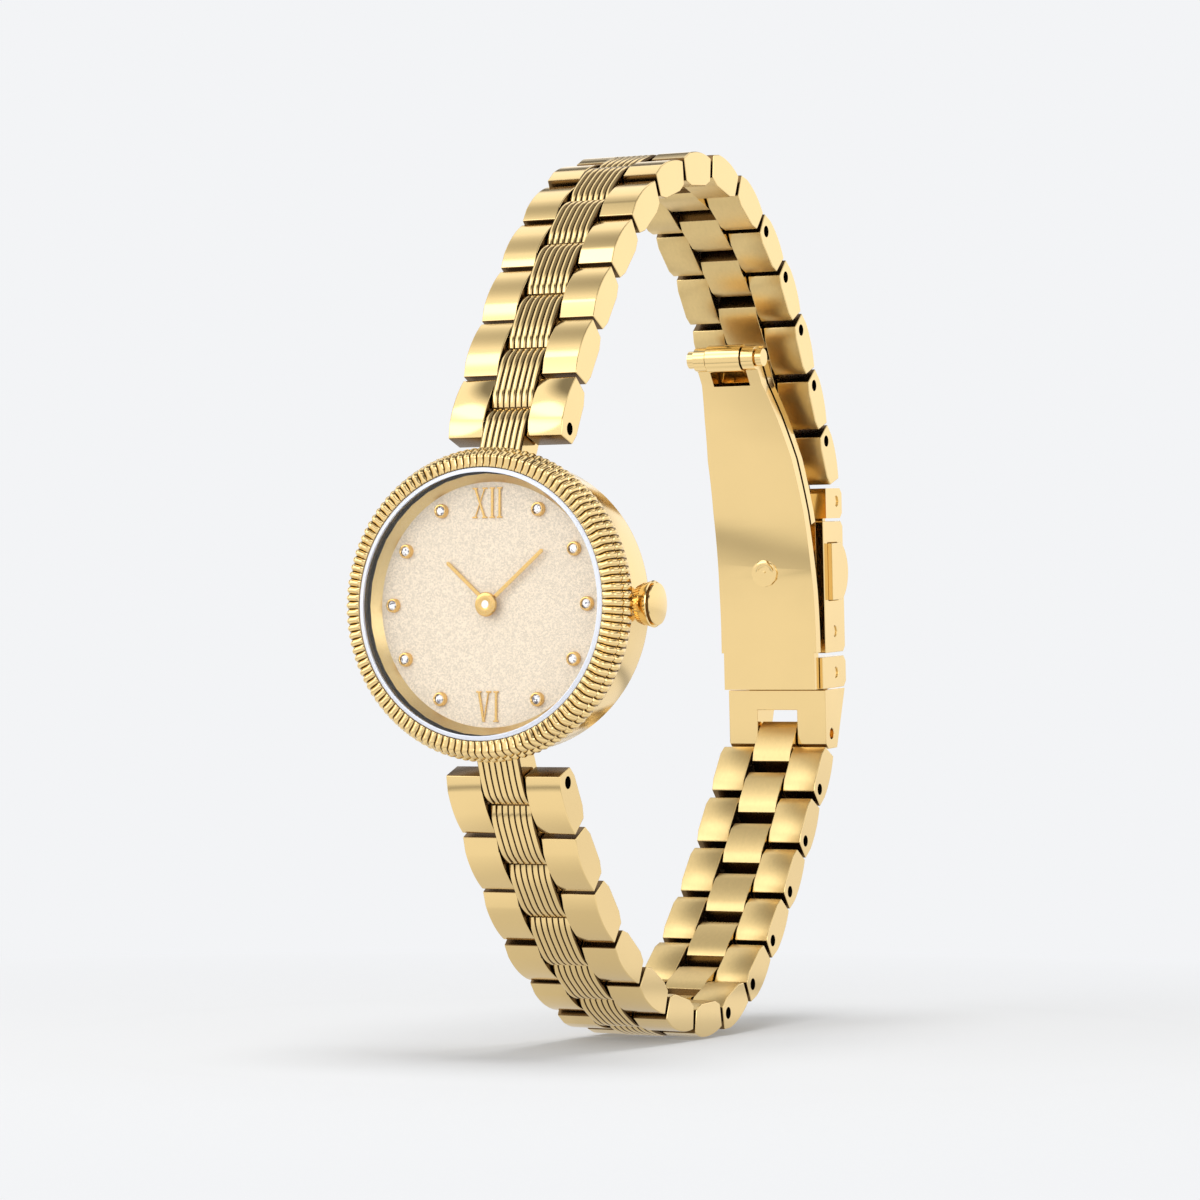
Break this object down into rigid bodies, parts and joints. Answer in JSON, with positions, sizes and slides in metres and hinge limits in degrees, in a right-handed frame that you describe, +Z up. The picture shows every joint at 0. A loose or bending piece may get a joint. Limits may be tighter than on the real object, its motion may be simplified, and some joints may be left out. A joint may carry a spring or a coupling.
{
  "type": "bracelet watch",
  "caption": "Slim round quartz watch with a fluted bezel on a tapered-profile link bracelet that closes with a push-button folding clasp.",
  "frame": {"origin": "centre of the bounding box's underside, below the loop of the closed bracelet", "axes": "+Z up through twelve o'clock, -Y out of the dial towards the viewer, +X towards the crown at three o'clock"},
  "size_m": [0.0252, 0.0616, 0.0728],
  "materials": {
    "gold": "polished",
    "gold_satin": "satin",
    "steel": "satin",
    "back_steel": "satin",
    "dial_gold": "sparkling lacquer",
    "crystal": "polished",
    "stone": "cut",
    "gasket": "matte",
    "movement_plastic": "matte",
    "copper_wire": "satin"
  },
  "bodies": {
    "case": {"case_middle": "gold", "bezel": "gold", "crystal": "crystal", "crystal_gasket": "gasket", "flange_ring": "gold", "dial": "dial_gold", "dial_numerals": "gold", "marker_cups": "gold", "marker_stones": "stone", "main_plate": "steel", "movement_ring": "movement_plastic", "battery": "steel", "drive_coil": "copper_wire", "rotor": "steel", "train_bridge": "steel", "case_back": "back_steel", "back_seal": "gasket", "crown_tube": "steel"},
    "upper_link_01": {"upper_link_01": "gold"},
    "upper_link_02": {"upper_link_02": "gold"},
    "upper_link_03": {"upper_link_03": "gold"},
    "upper_link_04": {"upper_link_04": "gold"},
    "upper_link_05": {"upper_link_05": "gold"},
    "upper_link_06": {"upper_link_06": "gold"},
    "upper_link_07": {"upper_link_07": "gold"},
    "upper_link_08": {"upper_link_08": "gold"},
    "upper_link_09": {"upper_link_09": "gold"},
    "upper_link_10": {"upper_link_10": "gold"},
    "upper_link_11": {"upper_link_11": "gold"},
    "upper_link_12": {"upper_link_12": "gold"},
    "upper_link_13": {"upper_link_13": "gold"},
    "upper_link_14": {"upper_link_14": "gold"},
    "lower_link_01": {"lower_link_01": "gold"},
    "lower_link_02": {"lower_link_02": "gold"},
    "lower_link_03": {"lower_link_03": "gold"},
    "lower_link_04": {"lower_link_04": "gold"},
    "lower_link_05": {"lower_link_05": "gold"},
    "lower_link_06": {"lower_link_06": "gold"},
    "lower_link_07": {"lower_link_07": "gold"},
    "lower_link_08": {"lower_link_08": "gold"},
    "lower_link_09": {"lower_link_09": "gold"},
    "lower_link_10": {"lower_link_10": "gold"},
    "lower_link_11": {"lower_link_11": "gold"},
    "lower_link_12": {"lower_link_12": "gold"},
    "lower_link_13": {"lower_link_13": "gold"},
    "clasp_base": {"clasp_blade": "gold_satin", "clasp_foot": "gold", "clasp_base_pins": "gold_satin"},
    "clasp_cover_lever": {"clasp_lever": "gold", "clasp_cover": "gold"},
    "pusher_right": {"pusher_right": "gold"},
    "pusher_left": {"pusher_left": "gold"},
    "setting_lever": {"setting_lever": "steel"},
    "crown": {"crown": "gold", "stem": "steel"},
    "minute_hand": {"minute_hand": "gold", "cannon_pinion": "gold_satin"},
    "hour_hand": {"hour_hand": "gold", "hour_wheel": "gold_satin"},
    "minute_wheel": {"minute_wheel": "gold_satin"}
  },
  "joints": [
    {"name": "upper_hinge_01", "type": "hinge", "parent": "case", "child": "upper_link_01", "pos_m": [-0.00057, -0.02519, 0.048], "axis": [1, 0, 0], "range_deg": [0, 27.31]},
    {"name": "upper_hinge_02", "type": "hinge", "parent": "upper_link_01", "child": "upper_link_02", "pos_m": [-0.00057, -0.0227, 0.05283], "axis": [1, 0, 0], "range_deg": [0, 6.01]},
    {"name": "upper_hinge_03", "type": "hinge", "parent": "upper_link_02", "child": "upper_link_03", "pos_m": [-0.00057, -0.01971, 0.05738], "axis": [1, 0, 0], "range_deg": [0, 3.01]},
    {"name": "upper_hinge_04", "type": "hinge", "parent": "upper_link_03", "child": "upper_link_04", "pos_m": [-0.00057, -0.01649, 0.06176], "axis": [1, 0, 0], "range_deg": [0, 7.01]},
    {"name": "upper_hinge_05", "type": "hinge", "parent": "upper_link_04", "child": "upper_link_05", "pos_m": [-0.00057, -0.01276, 0.06572], "axis": [1, 0, 0], "range_deg": [0, 9.01]},
    {"name": "upper_hinge_06", "type": "hinge", "parent": "upper_link_05", "child": "upper_link_06", "pos_m": [-0.00057, -0.00845, 0.06905], "axis": [1, 0, 0], "range_deg": [0, 19.01]},
    {"name": "upper_hinge_07", "type": "hinge", "parent": "upper_link_06", "child": "upper_link_07", "pos_m": [-0.00057, -0.0033, 0.07079], "axis": [1, 0, 0], "range_deg": [0, 12.01]},
    {"name": "upper_hinge_08", "type": "hinge", "parent": "upper_link_07", "child": "upper_link_08", "pos_m": [-0.00057, 0.0021, 0.07142], "axis": [1, 0, 0], "range_deg": [0, 19.01]},
    {"name": "upper_hinge_09", "type": "hinge", "parent": "upper_link_08", "child": "upper_link_09", "pos_m": [-0.00057, 0.00742, 0.07026], "axis": [1, 0, 0], "range_deg": [0, 18.01]},
    {"name": "upper_hinge_10", "type": "hinge", "parent": "upper_link_09", "child": "upper_link_10", "pos_m": [-0.00057, 0.01212, 0.06752], "axis": [1, 0, 0], "range_deg": [0, 9.01]},
    {"name": "upper_hinge_11", "type": "hinge", "parent": "upper_link_10", "child": "upper_link_11", "pos_m": [-0.00057, 0.01633, 0.06407], "axis": [1, 0, 0], "range_deg": [0, 12.01]},
    {"name": "upper_hinge_12", "type": "hinge", "parent": "upper_link_11", "child": "upper_link_12", "pos_m": [-0.00057, 0.01973, 0.05983], "axis": [1, 0, 0], "range_deg": [0, 6.01]},
    {"name": "upper_hinge_13", "type": "hinge", "parent": "upper_link_12", "child": "upper_link_13", "pos_m": [-0.00057, 0.02266, 0.05525], "axis": [1, 0, 0], "range_deg": [0, 2.01]},
    {"name": "upper_hinge_14", "type": "hinge", "parent": "upper_link_13", "child": "upper_link_14", "pos_m": [-0.00057, 0.02544, 0.05057], "axis": [1, 0, 0], "range_deg": [0, 1.01]},
    {"name": "lower_hinge_01", "type": "hinge", "parent": "case", "child": "lower_link_01", "pos_m": [-0.00057, -0.02519, 0.021], "axis": [-1, 0, 0], "range_deg": [0, 31.72]},
    {"name": "lower_hinge_02", "type": "hinge", "parent": "lower_link_01", "child": "lower_link_02", "pos_m": [-0.00057, -0.02233, 0.01637], "axis": [-1, 0, 0], "range_deg": [0, 7.01]},
    {"name": "lower_hinge_03", "type": "hinge", "parent": "lower_link_02", "child": "lower_link_03", "pos_m": [-0.00057, -0.01893, 0.01212], "axis": [-1, 0, 0], "range_deg": [0, 4.01]},
    {"name": "lower_hinge_04", "type": "hinge", "parent": "lower_link_03", "child": "lower_link_04", "pos_m": [-0.00057, -0.01524, 0.00813], "axis": [-1, 0, 0], "range_deg": [0, 13.01]},
    {"name": "lower_hinge_05", "type": "hinge", "parent": "lower_link_04", "child": "lower_link_05", "pos_m": [-0.00057, -0.01075, 0.00506], "axis": [-1, 0, 0], "range_deg": [0, 7.01]},
    {"name": "lower_hinge_06", "type": "hinge", "parent": "lower_link_05", "child": "lower_link_06", "pos_m": [-0.00057, -0.00591, 0.00257], "axis": [-1, 0, 0], "range_deg": [0, 15.01]},
    {"name": "lower_hinge_07", "type": "hinge", "parent": "lower_link_06", "child": "lower_link_07", "pos_m": [-0.00057, -0.0006, 0.00141], "axis": [-1, 0, 0], "range_deg": [0, 15.01]},
    {"name": "lower_hinge_08", "type": "hinge", "parent": "lower_link_07", "child": "lower_link_08", "pos_m": [-0.00057, 0.00484, 0.00167], "axis": [-1, 0, 0], "range_deg": [0, 20.01]},
    {"name": "lower_hinge_09", "type": "hinge", "parent": "lower_link_08", "child": "lower_link_09", "pos_m": [-0.00057, 0.00986, 0.00377], "axis": [-1, 0, 0], "range_deg": [0, 17.01]},
    {"name": "lower_hinge_10", "type": "hinge", "parent": "lower_link_09", "child": "lower_link_10", "pos_m": [-0.00057, 0.01404, 0.00724], "axis": [-1, 0, 0], "range_deg": [0, 8.01]},
    {"name": "lower_hinge_11", "type": "hinge", "parent": "lower_link_10", "child": "lower_link_11", "pos_m": [-0.00057, 0.0177, 0.01127], "axis": [-1, 0, 0], "range_deg": [0, 4.01]},
    {"name": "lower_hinge_12", "type": "hinge", "parent": "lower_link_11", "child": "lower_link_12", "pos_m": [-0.00057, 0.02107, 0.01554], "axis": [-1, 0, 0], "range_deg": [0, 3.01]},
    {"name": "lower_hinge_13", "type": "hinge", "parent": "lower_link_12", "child": "lower_link_13", "pos_m": [-0.00057, 0.02422, 0.01998], "axis": [-1, 0, 0], "range_deg": [0, 1.01]},
    {"name": "clasp_base_hinge", "type": "hinge", "parent": "lower_link_13", "child": "clasp_base", "pos_m": [-0.00057, 0.02754, 0.02485], "axis": [-1, 0, 0], "range_deg": [0, 38]},
    {"name": "clasp_fold", "type": "hinge", "parent": "clasp_base", "child": "clasp_cover_lever", "pos_m": [-0.00057, 0.01492, 0.05709], "axis": [1, 0, 0], "range_deg": [0, 150.01]},
    {"name": "pusher_right_press", "type": "slide", "parent": "clasp_cover_lever", "child": "pusher_right", "axis": [-1, 0, 0], "range_m": [0, 0.00045], "stiffness_N_per_m": 800, "springref_m": -0.0008},
    {"name": "pusher_left_press", "type": "slide", "parent": "clasp_cover_lever", "child": "pusher_left", "axis": [1, 0, 0], "range_m": [0, 0.00045], "stiffness_N_per_m": 800, "springref_m": -0.0008},
    {"name": "crown_pull", "type": "slide", "parent": "case", "child": "setting_lever", "axis": [1, 0, 0], "range_m": [0, 0.0008]},
    {"name": "crown_turn", "type": "hinge", "parent": "setting_lever", "child": "crown", "pos_m": [0.01087, -0.02639, 0.0345], "axis": [1, 0, 0], "continuous": true},
    {"name": "minute_hand_turn", "type": "hinge", "parent": "case", "child": "minute_hand", "pos_m": [-0.00057, -0.02929, 0.0345], "axis": [0, 1, 0], "continuous": true},
    {"name": "hour_hand_turn", "type": "hinge", "parent": "case", "child": "hour_hand", "pos_m": [-0.00057, -0.02929, 0.0345], "axis": [0, 1, 0], "continuous": true},
    {"name": "minute_wheel_turn", "type": "hinge", "parent": "case", "child": "minute_wheel", "pos_m": [-0.00167, -0.02929, 0.03214], "axis": [0, 1, 0], "continuous": true}
  ],
  "couplings": [
    {"joint": "upper_hinge_02", "follows": "upper_hinge_01", "ratio": 0.21974},
    {"joint": "upper_hinge_03", "follows": "upper_hinge_01", "ratio": 0.10987},
    {"joint": "upper_hinge_04", "follows": "upper_hinge_01", "ratio": 0.25636},
    {"joint": "upper_hinge_05", "follows": "upper_hinge_01", "ratio": 0.32961},
    {"joint": "upper_hinge_06", "follows": "upper_hinge_01", "ratio": 0.69584},
    {"joint": "upper_hinge_07", "follows": "upper_hinge_01", "ratio": 0.43948},
    {"joint": "upper_hinge_08", "follows": "upper_hinge_01", "ratio": 0.69584},
    {"joint": "upper_hinge_09", "follows": "upper_hinge_01", "ratio": 0.65922},
    {"joint": "upper_hinge_10", "follows": "upper_hinge_01", "ratio": 0.32961},
    {"joint": "upper_hinge_11", "follows": "upper_hinge_01", "ratio": 0.43948},
    {"joint": "upper_hinge_12", "follows": "upper_hinge_01", "ratio": 0.21974},
    {"joint": "upper_hinge_13", "follows": "upper_hinge_01", "ratio": 0.073246},
    {"joint": "upper_hinge_14", "follows": "upper_hinge_01", "ratio": 0.036623},
    {"joint": "lower_hinge_01", "follows": "upper_hinge_01", "ratio": 1.1613},
    {"joint": "lower_hinge_02", "follows": "upper_hinge_01", "ratio": 0.25636},
    {"joint": "lower_hinge_03", "follows": "upper_hinge_01", "ratio": 0.14649},
    {"joint": "lower_hinge_04", "follows": "upper_hinge_01", "ratio": 0.4761},
    {"joint": "lower_hinge_05", "follows": "upper_hinge_01", "ratio": 0.25636},
    {"joint": "lower_hinge_06", "follows": "upper_hinge_01", "ratio": 0.54935},
    {"joint": "lower_hinge_07", "follows": "upper_hinge_01", "ratio": 0.54935},
    {"joint": "lower_hinge_08", "follows": "upper_hinge_01", "ratio": 0.73246},
    {"joint": "lower_hinge_09", "follows": "upper_hinge_01", "ratio": 0.62259},
    {"joint": "lower_hinge_10", "follows": "upper_hinge_01", "ratio": 0.29299},
    {"joint": "lower_hinge_11", "follows": "upper_hinge_01", "ratio": 0.14649},
    {"joint": "lower_hinge_12", "follows": "upper_hinge_01", "ratio": 0.10987},
    {"joint": "lower_hinge_13", "follows": "upper_hinge_01", "ratio": 0.036623},
    {"joint": "clasp_base_hinge", "follows": "upper_hinge_01", "ratio": 1.3912},
    {"joint": "clasp_fold", "follows": "upper_hinge_01", "ratio": 5.4935},
    {"joint": "minute_wheel_turn", "follows": "minute_hand_turn", "ratio": -0.33333},
    {"joint": "hour_hand_turn", "follows": "minute_hand_turn", "ratio": 0.083333}
  ]
}
